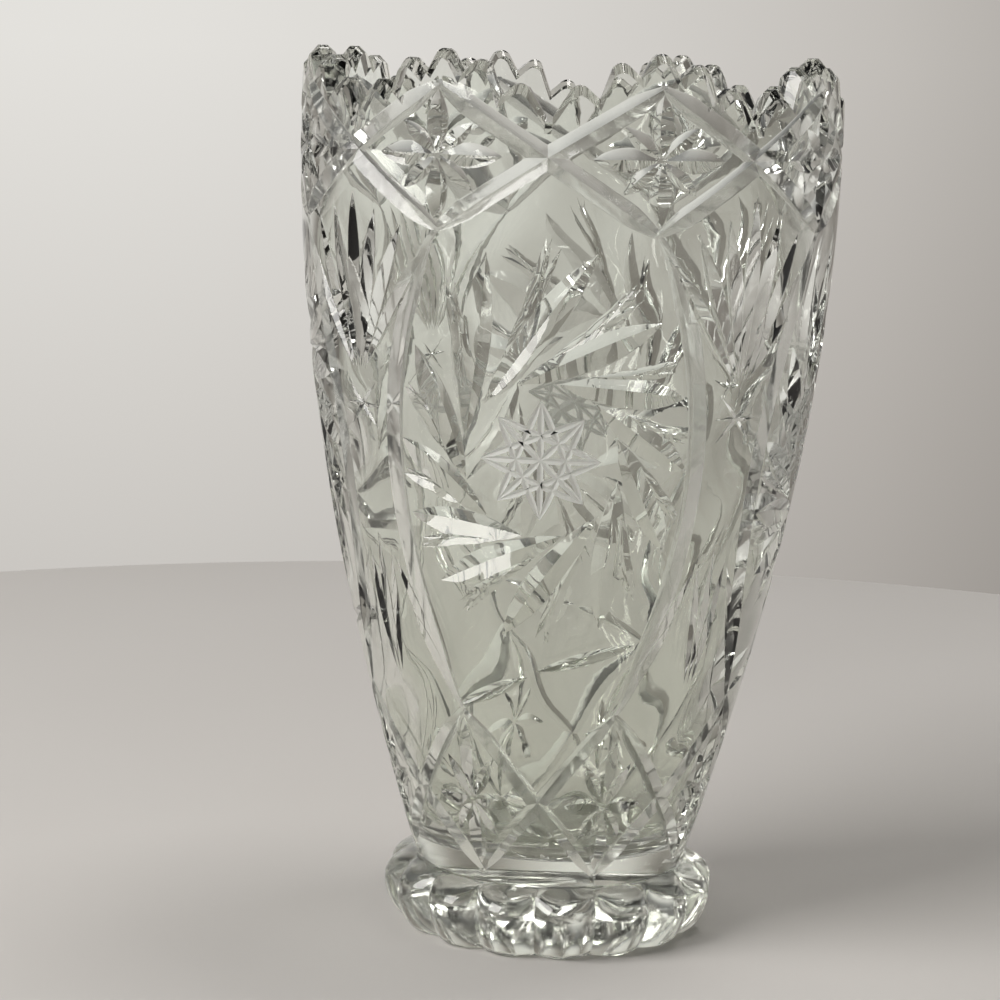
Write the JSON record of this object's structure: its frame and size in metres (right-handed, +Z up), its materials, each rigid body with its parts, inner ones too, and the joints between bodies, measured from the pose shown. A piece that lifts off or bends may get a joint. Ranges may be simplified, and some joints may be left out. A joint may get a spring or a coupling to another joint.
{
  "type": "cut crystal vase",
  "caption": "Tapered cut crystal vase with a scalloped toothed rim, star-filled diamond bands, whirling leaf medallions and fans on a scalloped foot.",
  "frame": {"origin": "centre of the foot's underside, on the plane the vase stands on", "axes": "+Z up along the vase's axis; the middle of one whirling leaf medallion faces -Y"},
  "size_m": [0.1518, 0.1518, 0.25],
  "materials": {
    "bowl": "polished lead crystal, with matte ground lines in the medallion star",
    "foot": "polished lead crystal"
  },
  "bodies": {
    "root": {"bowl": "bowl", "foot": "foot"}
  },
  "joints": []
}
